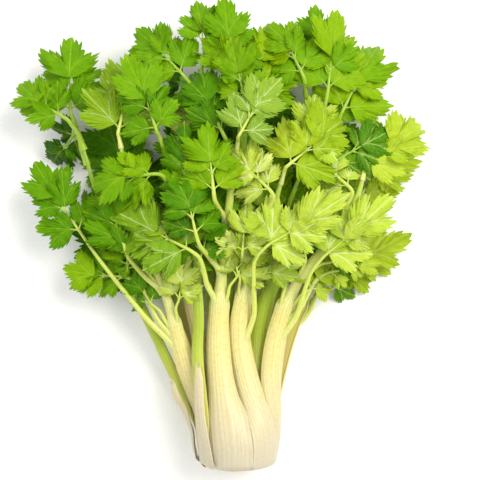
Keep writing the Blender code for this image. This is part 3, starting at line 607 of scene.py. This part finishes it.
# Small leaves that crowd round each stalk's joint: mm past the joint, side (-1 or 1), spread in degrees,
# mm of stem and of blade, tint, shape and colour.
SMALL_LEAVES = {
    "front": [(0, -1, 26, 30, 40, 0.7, "soft", "green"), (4, 1, 22, 26, 44, 0.75, "curled", "young"),
              (30, -1, 30, 24, 38, 0.2, "open", "green"), (34, 1, 30, 26, 40, 0.5, "soft", "young")],
    "front_right": [(0, -1, 20, 26, 36, 0.6, "shell", "young"), (3, 1, 24, 24, 44, 0.6, "curled", "young"),
                    (28, 1, 34, 22, 40, 0.8, "soft", "light")],
    "right": [(0, -1, 22, 30, 40, 0.5, "soft", "young"), (4, 1, 24, 24, 36, 0.9, "soft", "light"),
              (34, -1, 28, 26, 42, 0.1, "soft", "light"), (40, 1, 30, 26, 40, 0.3, "soft", "light")],
    "left": [(0, -1, 24, 28, 40, 0.45, "open", "green"), (3, 1, 24, 22, 42, 0.8, "curled", "young"),
             (36, 1, 30, 28, 44, 0.7, "open", "green"), (44, -1, 30, 26, 40, 0.8, "soft", "green")],
    "far_left": [(2, -1, 26, 26, 40, 0.5, "open", "green"), (6, 1, 30, 28, 42, 0.3, "soft", "green"),
                 (50, 1, 34, 24, 40, 0.6, "soft", "green"), (60, -1, 30, 22, 36, 0.3, "limp", "green")],
    "slim": [(0, 1, 24, 26, 40, 0.25, "soft", "green"), (20, -1, 30, 24, 38, 0.5, "open", "green")],
    "inner_right": [(0, -1, 24, 34, 42, 0.1, "soft", "light"), (6, 1, 28, 34, 44, 0.2, "soft", "light"),
                    (50, -1, 30, 30, 44, 0.8, "soft", "green"), (60, 1, 30, 26, 42, 0.6, "soft", "light")],
    "inner_left": [(0, -1, 20, 30, 40, 0.4, "soft", "green"), (4, 1, 22, 30, 40, 0.5, "soft", "young"),
                   (40, 1, 30, 26, 40, 0.4, "open", "green")],
    "inner_front": [(30, -1, 26, 30, 48, 0.4, "soft", "green"), (34, 1, 26, 30, 42, 0.5, "soft", "light"),
                    (70, -1, 34, 26, 42, 0.5, "open", "green"), (76, 1, 34, 26, 44, 0.7, "open", "green")],
    "inner_back_left": [(60, -1, 32, 30, 50, 0.3, "open", "green"),
                        (66, 1, 32, 30, 50, 0.15, "soft", "green"),
                        (20, -1, 28, 34, 50, 0.3, "soft", "green"),
                        (24, 1, 28, 34, 50, 0.5, "soft", "green"),
                        (110, 1, 36, 24, 42, 0.5, "open", "green")],
    "inner_back_right": [(60, -1, 32, 30, 50, 0.2, "open", "green"),
                         (66, 1, 32, 30, 50, 0.5, "soft", "green"),
                         (20, -1, 28, 34, 50, 0.2, "soft", "green"),
                         (24, 1, 28, 34, 50, 0.2, "soft", "light"),
                         (112, 1, 36, 24, 42, 0.6, "open", "green")],
    "back_left": [(0, -1, 32, 34, 50, 0.3, "open", "green"), (4, 1, 30, 36, 54, 0.1, "open", "green"),
                  (34, 1, 40, 30, 52, 0.2, "open", "green")],
    "back_middle": [(0, -1, 34, 40, 56, 0.1, "open", "green"), (4, 1, 34, 40, 56, 0.2, "open", "green"),
                    (50, -1, 38, 36, 56, 0.15, "open", "green"), (54, 1, 40, 36, 56, 0.25, "open", "green"),
                    (96, -1, 40, 30, 52, 0.3, "open", "green")],
    "back_right": [(0, -1, 36, 34, 54, 0.6, "open", "green"), (4, 1, 30, 32, 50, 0.3, "open", "light"),
                   (34, -1, 44, 32, 52, 0.4, "soft", "light")],
}
SPARSE_LEAVES = {"leaf_left_3": 0.74, "leaf_right_1": 0.8, "leaf_left_4": 0.85, "leaf_far_left_2": 0.92}
SMALL_FULLNESS = 1.12  # times a leaflet's size
VEIN_WIDTHS = {"leaf_green": 0.6, "leaf_light": 0.75, "leaf_young": 1.1}
GROUND_EASE = 7.0  # below this height a leaf bends level rather than pass into the ground
VEINLETS_PER_MM = 0.42  # across the net of fine veins
MOTTLES_PER_MM = 0.09
LIGHT_THROUGH = 0.3  # share of the light that passes through a blade


def leaf_blade(name, dark_to_light, under, glow, edge, veins, roughness, vein_share):
    """A living celery blade: waxy above, matt and paler below, with light showing through its thin flesh."""
    material = new_material(name)
    tree = material.node_tree
    tint, vein = painted(tree, "tint"), painted(tree, "vein")
    x, y = painted(tree, "leaf_x"), painted(tree, "leaf_y")
    place = add(tree, "ShaderNodeCombineXYZ", {"X": x, "Y": y}).outputs[0]
    cells = add(tree, "ShaderNodeTexVoronoi", {"Vector": place, "Scale": VEINLETS_PER_MM, "Randomness": 0.9},
                feature="DISTANCE_TO_EDGE").outputs["Distance"]
    veinlet = eased(tree, cells, 0.10, 0.0)
    inputs = {"Vector": place, "Scale": MOTTLES_PER_MM, "Detail": 3.0}
    mottle = add(tree, "ShaderNodeTexNoise", inputs).outputs["Fac"]
    drift = add(tree, "ShaderNodeMath", {0: mottle, 1: 0.5}, operation="SUBTRACT").outputs[0]
    shade = add(tree, "ShaderNodeMath", {0: drift, 1: 0.55, 2: tint}, operation="MULTIPLY_ADD").outputs[0]
    flesh = add(tree, "ShaderNodeValToRGB", {"Fac": shade}, dark_to_light).outputs[0]
    pale = mix(tree, 0.55, flesh, linear(under))
    pale = mix(tree, eased(tree, vein, 0.2, 0.9, 0.0, 0.7), pale, linear("#D4E49A"))
    # Lighter and yellower toward the rim: partly the leaf's own paler margin, partly a painted highlight
    # along the edges.
    flesh = mix(tree, eased(tree, painted(tree, "rim"), 0.35, 1.0, 0.0, 0.42), flesh, linear(edge))
    veined = mix(tree, eased(tree, vein, 0.25, 0.95, 0.0, vein_share), flesh, linear(veins))
    veined = mix(tree, eased(tree, veinlet, 0.2, 1.0, 0.0, 0.22), veined, pale)
    colour = mix(tree, painted(tree, "under"), veined, pale)
    inputs = {0: veinlet, 1: -0.5, 2: mottle}
    height = add(tree, "ShaderNodeMath", inputs, operation="MULTIPLY_ADD").outputs[0]
    inputs = {"Height": height, "Strength": 0.45, "Distance": 0.5 * MM}
    relief = add(tree, "ShaderNodeBump", inputs).outputs["Normal"]
    shader = add(tree, "ShaderNodeBsdfPrincipled", {
        "Base Color": colour, "Roughness": roughness, "IOR": 1.42, "Specular IOR Level": 0.14,
        "Normal": relief})
    through = add(tree, "ShaderNodeBsdfTranslucent", {
        "Color": mix(tree, 1.0, colour, linear(glow), blend="MULTIPLY"), "Normal": relief})
    inputs = {"Fac": LIGHT_THROUGH, 1: shader.outputs[0], 2: through.outputs[0]}
    blade = add(tree, "ShaderNodeMixShader", inputs)
    add(tree, "ShaderNodeOutputMaterial", {"Surface": blade.outputs[0]})
    return material


# Each blade: flesh colours dark to light, underside, light passing through, rim (the paler margin with a
# painted highlight), veins, roughness and how strongly the veins show.
blade_skins = {
    "leaf_green": leaf_blade("waxy_green_leaf_blade",
                             [(0.0, "#336800"), (0.3, "#579400"), (0.6, "#72AA00"), (1.0, "#98BE04")],
                             "#8FB228", "#F8FF30", "#9CCA04", "#BAD83A", 0.40, 0.34),
    "leaf_light": leaf_blade("soft_light_leaf_blade",
                             [(0.0, "#4A8600"), (0.35, "#80AC06"), (0.7, "#A8C41A"), (1.0, "#C2D53A")],
                             "#AECE46", "#F2FF5C", "#BADA38", "#D8E87C", 0.42, 0.52),
    "leaf_young": leaf_blade("tender_young_leaf_blade",
                             [(0.0, "#9CC41A"), (0.35, "#B2D030"), (0.7, "#CADB4C"), (1.0, "#DBE67C")],
                             "#CEDE70", "#F6FF6C", "#D6E674", "#E8F2B0", 0.44, 0.72)}


def blade_ends(points, levels):
    """The six points at each end of a leaf's solid."""
    first = min(levels({0})[-1])
    second = min(levels({first})[-1])
    return [np.argsort(np.linalg.norm(points - points[end], axis=1))[:6] for end in (second, first)]


def leaf_stations(node):
    """The side stem's centres, and for each section of the blade: centre, side and upward directions."""
    sections = sections_of(node, blade_ends)
    if np.ptp(sections[2], axis=0).max() > np.ptp(sections[-3], axis=0).max():
        sections = sections[::-1]
    centres = np.array([section.mean(0) for section in sections])
    tangents = unit(np.gradient(centres, axis=0))
    rows = []
    for section, centre, tangent in zip(sections[5:], centres[5:], tangents[5:]):
        flat = section - centre
        side = np.linalg.svd(flat - np.outer(flat @ tangent, tangent))[2][0]
        up = np.cross(side, tangent)
        if up[2] < 0:
            side, up = -side, -up
        rows.append([*centre, *side, *up, np.abs(flat @ side).max()])
    return centres[:5], np.array(rows)


def laid_on(frames, along, across, height):
    """Places on a blade from mm along its midrib, across it and above it."""
    lengths, rows = frames
    held = np.clip(along, 0, lengths[-1])
    values = np.stack([np.interp(held, lengths, column) for column in rows.T], -1)
    centre, side, up = values[..., 0:3], unit(values[..., 3:6]), unit(values[..., 6:9])
    ahead = np.cross(up, side)
    return centre + ahead * (along - held)[..., None] + side * across[..., None] + up * height[..., None]


def toothed_outline(rng):
    """Ray angles and reaches round a leaflet, and its veins: end angle, reach, lobe's angle and start."""
    keys, veins = [], []
    late, sooner, least = FINE_VEIN_STARTS
    for lobe, (angle, reach, places) in enumerate(zip(LOBE_ANGLES, LOBE_REACH, TOOTH_PLACES)):
        angle = angle + rng.normal(0, LOBE_WANDER)
        reach = reach * rng.uniform(*LOBE_SIZES)
        tips = []
        for place in places:
            full = reach * (1 - TOOTH_FALL * abs(place) ** TOOTH_FALL_POWER)
            tip_reach = full * rng.uniform(*TOOTH_SIZES)
            tips.append((angle + (place + rng.normal(0, TOOTH_WANDER)) * LOBE_SPREAD, tip_reach))
            start = max(least, late - sooner * abs(place)) if place else SIDE_VEIN_START * (lobe != 1)
            veins.append((*tips[-1], angle, start, place == 0))
        for number, tip in enumerate(tips):
            keys.append(tip)
            if number + 1 < len(tips):
                after = tips[number + 1]
                share = NOTCH_PLACE if abs(places[number]) > abs(places[number + 1]) else 1 - NOTCH_PLACE
                depth = min(tip[1], after[1]) - rng.uniform(*TOOTH_DEPTHS)
                keys.append((tip[0] + (after[0] - tip[0]) * share, depth))
        if lobe < 2:
            keys.append((None, SINUS_REACH * rng.uniform(*SINUS_SIZES)))
    for number, (angle, reach) in enumerate(keys):
        if angle is None:  # a gap between lobes is midway between the teeth beside it
            keys[number] = ((keys[number - 1][0] + keys[number + 1][0]) / 2, reach)
    keys = [(keys[0][0] - BASE_TURN, keys[0][1] * BASE_REACH), *keys,
            (keys[-1][0] + BASE_TURN, keys[-1][1] * BASE_REACH)]
    angles, reaches = np.array(keys).T
    places = np.linspace(0, len(keys) - 1, (len(keys) - 1) * RAYS_PER_SIDE + 1)
    bulge = TOOTH_BULGE * np.sin(math.pi * (places % 1.0))
    steps = np.arange(len(keys))
    return np.radians(np.interp(places, steps, angles)), np.interp(places, steps, reaches) + bulge, veins


def veins_over(radius, theta, length, veins, ribs):
    """How strongly a vein shows at each point of a leaflet, and how deep it lies there in its groove."""
    vein, groove = np.zeros_like(radius), np.zeros_like(radius)
    for end, reach, lobe, start, main in veins:
        strength, broad, taper = MIDRIB if main else FINE_VEIN
        out = radius / (length * reach)
        path = lobe * np.clip((out - SIDE_VEIN_START) / (1 - SIDE_VEIN_START), 0, 1) ** 0.55
        branch = np.clip((out - start) / (1 - start), 0, 1) ** 0.8
        away = radius * np.abs(theta - np.radians(path + (end - lobe) * branch))
        held = strength * np.clip((out - start) / 0.04, 0, 1) * np.clip((1.02 - out) / 0.05, 0, 1)
        fine = ribs * (broad - taper * out)
        vein = np.maximum(vein, held * np.exp(-(away / fine) ** 2))
        groove = np.maximum(groove, held * np.exp(-(away / (GROOVE_WIDTH + GROOVE_GROWTH * length)) ** 2))
    return vein, groove


def leaflet_relief(rng, x, y, theta, share, length, shape, groove):
    """The height of a leaflet's upper side: swollen between its veins, crumpled, tilted and curled."""
    some = {key: value * rng.uniform(*SHAPE_VARIES) + rng.normal(0, SHAPE_WANDER)
            for key, value in LEAF_SHAPES[shape].items()}
    waves = sum(rng.normal(0, 0.5) * np.sin(theta * turns + rng.uniform(0, FULL_TURN)) for turns in RIM_WAVES)
    crumple = sum(rng.normal(0, CRUMPLE_HEIGHT) * np.sin(
        x / rng.uniform(*CRUMPLE_MM) + y / rng.uniform(*CRUMPLE_MM) * rng.choice([-1, 1])
        + rng.uniform(0, FULL_TURN)) for _ in range(CRUMPLES))
    pitch, roll = rng.normal(*PITCH), rng.normal(*ROLL)
    height = (some["quilt"] * (0.4 - groove) + crumple) * np.clip(share * 3, 0, 1) + pitch * y + roll * x
    height = height + length * (some["cup"] * share**2 + some["wave"] * share**3 * waves
                                + some["fold"] * np.abs(x) / length * (1 - 0.3 * share)
                                - some["droop"] * (y / length) ** 2 - some["fall"] * (x / length) ** 2)
    for lobe in LOBE_ANGLES:
        tilt = rng.normal(0, LOBE_TILT) * length
        height = height + tilt * share**2 * np.exp(-((np.degrees(theta) - lobe) / LOBE_HALF_WIDTH) ** 2)
    return height


def leaflet(rng, frames, base, heading, length, width, shape, tint, lift, ribs):
    """One thin toothed leaflet as a closed sheet, from its base and its heading off the midrib."""
    angles, reaches, veins = toothed_outline(rng)
    stretch = width / (length * OUTLINE_WIDTH)
    radius = length * reaches[:, None] * REACH_SHARES[None, :]
    theta = np.repeat(angles[:, None], radius.shape[1], 1)
    share = np.repeat(REACH_SHARES[None, :], len(angles), 0)
    vein, groove = veins_over(radius, theta, length, veins, ribs)
    x, y = radius * np.sin(theta) * stretch, radius * np.cos(theta)
    height = lift + leaflet_relief(rng, x, y, theta, share, length, shape, groove)
    across = base[1] + x * math.cos(heading) + y * math.sin(heading)
    along = base[0] - x * math.sin(heading) + y * math.cos(heading)
    thick = RIM_THICKNESS + (LEAFLET_THICKNESS - RIM_THICKNESS) * (1 - share**8)
    thick = thick + VEIN_THICKNESS * vein * (1 - share)
    points = np.concatenate([laid_on(frames, along, across, height).reshape(-1, 3),
                             laid_on(frames, along, across, height - thick).reshape(-1, 3)])
    rays, rows = radius.shape
    count = rays * rows
    grid = np.arange(count).reshape(rays, rows)
    top = np.stack([grid[:-1, :-1], grid[:-1, 1:], grid[1:, 1:], grid[1:, :-1]], -1).reshape(-1, 4)
    edge = np.concatenate([grid[:-1, -1], grid[-1, :0:-1], grid[:0:-1, 0], grid[0, :-1]])
    after = np.roll(edge, -1)
    rim = np.stack([edge, edge + count, after + count, after], -1)
    offset = rng.uniform(0, 900, 2)
    values = {"vein": np.tile(vein.ravel(), 2), "tint": np.full(2 * count, tint + rng.normal(0, TINT_WANDER)),
              "rim": np.tile(((share * reaches[:, None]) ** 3).ravel(), 2),
              "leaf_x": np.tile(x.ravel() + offset[0], 2), "leaf_y": np.tile(y.ravel() + offset[1], 2),
              "under": np.repeat([1.0, 0.0] if shape == "turned" else [0.0, 1.0], count)}
    return points, np.concatenate([top[:, ::-1], top + count, rim[:, ::-1]]), values, 1


def stem_tube(path, widths, climb):
    """A ribbed stem, closed at both ends, with its half width at each point of the path."""
    ahead = unit(np.gradient(path, axis=0))
    side = unit(np.cross(ahead, [0.02, 0.01, 1.0]))
    up = np.cross(side, ahead)
    turn = -np.linspace(0, 2 * math.pi, STEM_SIDES, endpoint=False)
    form = 1 + STEM_RIB_HEIGHT * np.cos(turn * STEM_RIBS)
    rings = (path[:, None] + side[:, None] * (widths[:, None] * form * np.cos(turn))[..., None]
             + up[:, None] * (widths[:, None] * form * np.sin(turn) * STEM_DEPTH)[..., None])
    count = len(path)
    length = np.concatenate([[0], np.cumsum(np.linalg.norm(np.diff(path, axis=0), axis=1))])
    # Painted shade in the grooves between the stem's ribs, through the skin's ridge value.
    ridge = 0.5 + 0.5 * np.cos(turn * STEM_RIBS)
    values = {"climb": np.repeat(np.linspace(*climb, count), STEM_SIDES),
              "along": np.repeat(length, STEM_SIDES),
              "across": np.tile(turn * 2, count), "ridge": np.tile(ridge, count)}
    faces = [loft_faces(count, STEM_SIDES), cap_faces(0, STEM_SIDES, True),
             cap_faces((count - 1) * STEM_SIDES, STEM_SIDES, False)]
    return rings.reshape(-1, 3), np.concatenate(faces), values, 0


def smooth_path(points, step=STEM_STEP):
    """Points at even steps on a curve through a few."""
    length = np.concatenate([[0], np.cumsum(np.linalg.norm(np.diff(points, axis=0), axis=1))])
    count = max(4, int(length[-1] / step))
    return between(points, np.interp(np.linspace(0, length[-1], count), length, np.arange(len(points))))


def leaf_parts(rng, stem, frames, length, width, tint, shape, pairs, ribs, fullness, slim):
    """The stem, midrib and leaflets of one compound leaf, on frames that run along its midrib."""
    kind = "broad" if shape == "broad" else "other"
    rachis_end = RACHIS_SHARES[pairs] * length
    along = np.array([0.0, 0.4, 0.7, 1.0]) * rachis_end
    rachis = laid_on(frames, along, np.zeros(4), np.array([0, -1, -1, -1]))
    path = smooth_path(np.concatenate([stem, rachis]))
    widths = np.interp(np.linspace(0, 1, len(path)), STEM_PLACES, STEM_HALF_WIDTHS) * slim
    parts = [stem_tube(path, widths, (STEM_CLIMB, 1.0))]
    reach, breadth = END_LEAFLET
    plan = [((rachis_end - 2, 0.0), rng.normal(0, 0.08), reach * length - rachis_end, breadth * width, 0.7)]
    for pair in range(pairs):
        at = PAIR_PLACES[pair] * length
        turn = math.radians(PAIR_TURNS[kind][pair] + rng.normal(0, 5))
        size = min(width / 2 / math.sin(turn) * PAIR_SIZES[pair], PAIR_LIMITS[kind][pair] * length)
        for end in (-1, 1):
            gap = 1.0 if kind == "broad" else 3.0 + rng.uniform(0, 3)
            tilt = turn + math.radians(rng.normal(0, 7))
            base = (at + gap * math.cos(tilt), end * gap * math.sin(tilt))
            grown = size * rng.uniform(0.82, 1.05) - gap
            plan.append((base, end * tilt, grown, grown * rng.uniform(0.84, 1.05), -0.6 - 1.1 * (1 - pair)))
            spots = np.array([[at - 1.5, 0.0], [(at + base[0]) / 2, base[1] / 2], base,
                              [base[0] + 4 * math.cos(tilt), base[1] + end * 4 * math.sin(tilt)]])
            twig = laid_on(frames, spots[:, 0], spots[:, 1], np.array([-1.0, -0.9, -0.9, -1.1]))
            twig = smooth_path(twig, TWIG_STEP)
            parts.append(stem_tube(twig, np.linspace(*TWIG_HALF_WIDTHS, len(twig)), (0.9, 1.0)))
    for base, heading, size, breadth, lift in plan:
        parts.append(leaflet(rng, frames, base, heading, size * fullness, breadth * fullness, shape, tint,
                             lift + rng.normal(0, 0.4), ribs))
    return parts


def join_leaf(name, parts, slot, skin):
    """One piece from the parts of one or more leaves. Leaves that reach the ground lie on it."""
    keys = sorted({key for part in parts for key in part[2]})
    starts = np.cumsum([0] + [len(part[0]) for part in parts])
    points = np.concatenate([part[0] for part in parts])
    low = points[:, 2] < GROUND_EASE
    points[low, 2] = GROUND_EASE * np.exp((points[low, 2] - GROUND_EASE) / GROUND_EASE)
    faces = [part[1] + begin for part, begin in zip(parts, starts)]
    values = {key: np.concatenate([part[2].get(key, np.zeros(len(part[0]))) for part in parts])
              for key in keys}
    slots = np.concatenate([np.full(len(part[1]), part[3]) for part in parts])
    piece = make_mesh(name, points, faces, values, [skin, blade_skins[slot]], slots)
    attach(piece, "root")
    return piece


def along_line(points):
    """How far along each point comes, from 0 to 1."""
    length = np.concatenate([[0], np.cumsum(np.linalg.norm(np.diff(points, axis=0), axis=1))])
    return length / length[-1]


def build_leaf(node, seed):
    """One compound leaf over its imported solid."""
    rng = np.random.default_rng(seed)
    tint, shape = LEAF_LOOKS[node.replace("leaf_", "")]
    pairs = 1 if node == "leaf_heart_1" else 2
    stem, blade = leaf_stations(node)
    lengths = np.concatenate([[0], np.cumsum(np.linalg.norm(np.diff(blade[:, :3], axis=0), axis=1))])
    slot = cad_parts[node].data.materials[0].name
    stalk = "stalk_" + node[5:].rsplit("_", 1)[0]
    skin = pale_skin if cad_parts[stalk].data.materials[0].name == "stalk_pale" else green_skin
    line = stalk_lines[stalk][0][:, :3]
    nearest = int(np.argmin(np.linalg.norm(line - stem[0], axis=1)))
    rooted = line[max(nearest - 4, 0)] * 0.75 + stem[0] * 0.25
    stem = np.concatenate([[rooted, (line[max(nearest - 1, 0)] + stem[0]) / 2], stem[1:]])
    straight = rooted + (stem[-1] - rooted) * along_line(stem)[:, None]
    stem = stem + (straight - stem) * STEM_STRAIGHTNESS
    slim = SLIM_STEM if nearest > len(line) - 8 else 1.0
    parts = leaf_parts(rng, stem, (lengths, blade), lengths[-1], 2 * blade[:, 9].max(), tint, shape, pairs,
                       VEIN_WIDTHS[slot], SPARSE_LEAVES.get(node, 1.0), slim)
    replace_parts(join_leaf("compound_" + node, parts, slot, skin), node)


def build_small_leaves(stalk, number, branches):
    """Small leaves on side stems that leave the shoulders of a stalk's joint."""
    rng = np.random.default_rng(number)
    rows, joint = stalk_lines["stalk_" + stalk]
    by_slot = {}
    for past, end, spread, reach, length, tint, shape, colour in branches:
        index = min(joint + int(past / STATION_STEP), len(rows) - 3)
        place, side, facing = rows[index, 0:3], rows[index, 3:6], rows[index, 6:9]
        if side @ (1, 0, 0) < 0:
            side = -side
        ahead = unit(rows[index + 2, :3] - rows[index, :3])
        up = unit(facing + np.array([0, 0, 1.2]))
        turn = math.radians(spread)
        out = ahead * math.cos(turn) + side * end * math.sin(turn)
        root = place + side * end * rows[index, 9] * 0.45 + facing * rows[index, 10] * 0.3
        stem = np.array([root - ahead * 6 - up * 2,
                         root + ahead * reach * 0.3 + side * end * reach * 0.12 + up * 2,
                         root + (ahead * 0.3 + out * 0.7) * reach * 0.65 + up * 4,
                         root + out * reach + up * 5])
        steps = np.linspace(0, 1, 9)[:, None]
        line = stem[-1] + out * length * steps - np.array([0, 0, 1]) * length * 0.16 * steps**2
        sides = np.cross(unit(np.gradient(line, axis=0)), up)
        ups = np.cross(unit(sides), unit(np.gradient(line, axis=0)))
        frames = (np.linspace(0, length, 9), np.hstack([line, unit(sides), ups]))
        slot = "leaf_" + colour
        parts = leaf_parts(rng, stem[:-1], frames, length, length * rng.uniform(0.95, 1.1), tint, shape, 1,
                           VEIN_WIDTHS[slot], SMALL_FULLNESS, SMALL_STEM)
        by_slot.setdefault(slot, []).extend(parts)
    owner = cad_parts["stalk_" + stalk].data.materials[0].name
    for slot, parts in by_slot.items():
        join_leaf(f"small_{slot}_{stalk}", parts, slot, pale_skin if owner == "stalk_pale" else green_skin)


for number, node in enumerate(sorted(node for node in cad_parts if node.startswith("leaf_"))):
    build_leaf(node, number + 101)
for number, (stalk, branches) in enumerate(SMALL_LEAVES.items()):
    build_small_leaves(stalk, number + 301, branches)


# ---- Floor, light and camera ----
# A plain pale paper ground under a soft window light from the upper right, with a weaker fill light from the
# upper left and a pale room all round. The camera looks straight down on the head.

FLOOR_WIDTH = 8000
PAPER_MOTTLE_MM = 14
PAPER_FIBRE_MM = 0.8
ROOM_LIGHT = 0.82
VIEW_POINT = (20.5, -6.8, 50.0)
VIEW_WIDTH = 456.0  # across the picture at the view point
LENS = 85.0
SENSOR = 36.0


def paper():
    """Matt white paper board: even, with a fibre mottle too faint to draw the eye."""
    material = new_material("matt_white_paper_board")
    tree = material.node_tree
    inputs = {"Vector": in_units_of(tree, PAPER_MOTTLE_MM), "Detail": 4.0}
    patches = add(tree, "ShaderNodeTexNoise", inputs).outputs["Fac"]
    mottle = eased(tree, patches, 0.3, 0.7)
    colour = mix(tree, mottle, linear("#F4F4F2"), linear("#F8F8F7"))
    inputs = {"Vector": in_units_of(tree, PAPER_FIBRE_MM), "Detail": 2.0}
    fibre = add(tree, "ShaderNodeTexNoise", inputs).outputs["Fac"]
    inputs = {"Height": fibre, "Strength": 0.15, "Distance": 0.1 * MM}
    relief = add(tree, "ShaderNodeBump", inputs).outputs["Normal"]
    inputs = {"Base Color": colour, "Roughness": 0.85, "IOR": 1.4, "Normal": relief}
    board = add(tree, "ShaderNodeBsdfPrincipled", inputs)
    add(tree, "ShaderNodeOutputMaterial", {"Surface": board.outputs[0]})
    return material


def build_stage():
    """The ground that the head lies on."""
    half = FLOOR_WIDTH / 2
    corners = np.array([[-half, -half, 0], [half, -half, 0], [half, half, 0], [-half, half, 0]])
    floor = make_mesh("paper_ground", corners, [np.array([[0, 1, 2, 3]])], {}, [paper()])


def aim(piece, place, target):
    """Puts a light or the camera at a place in mm, looking at a target with the picture's top toward +Y."""
    back = unit(np.subtract(place, target).astype(float))
    right = unit(np.cross([0, 1, 0], back))
    up = np.cross(back, right)
    turned = np.eye(4)
    turned[:3, :3] = np.stack([right, up, back], -1)
    turned[:3, 3] = np.array(place) * MM
    piece.matrix_world = Matrix(turned.tolist())


def build_light(name, place, size, power, colour):
    """A round soft light, size mm wide, that looks at the middle of the head."""
    light = bpy.data.lights.new(name, "AREA")
    light.shape = "DISK"
    light.size = size * MM
    light.energy = power
    light.color = linear(colour)[:3]
    piece = bpy.data.objects.new(name, light)
    bpy.context.scene.collection.objects.link(piece)
    aim(piece, place, (0, 20, 40))


def build_camera():
    """A long lens straight above the head."""
    camera = bpy.data.cameras.new("camera")
    camera.lens, camera.sensor_width, camera.clip_start = LENS, SENSOR, 0.05
    piece = bpy.data.objects.new("camera", camera)
    bpy.context.scene.collection.objects.link(piece)
    distance = VIEW_WIDTH * LENS / SENSOR
    aim(piece, (VIEW_POINT[0], VIEW_POINT[1], VIEW_POINT[2] + distance), VIEW_POINT)
    bpy.context.scene.camera = piece


build_stage()
build_light("window_light", (760, 480, 1300), 1000, 21, "#FFFCF2")
build_light("fill_light", (-900, 300, 1300), 1400, 6, "#FFFFFF")
build_camera()
world = bpy.data.worlds.new("pale_room")
world.use_nodes = True
world.node_tree.nodes["Background"].inputs["Color"].default_value = linear("#FFFFFF")
world.node_tree.nodes["Background"].inputs["Strength"].default_value = ROOM_LIGHT
bpy.context.scene.world = world
bpy.context.scene.view_settings.view_transform = "Standard"
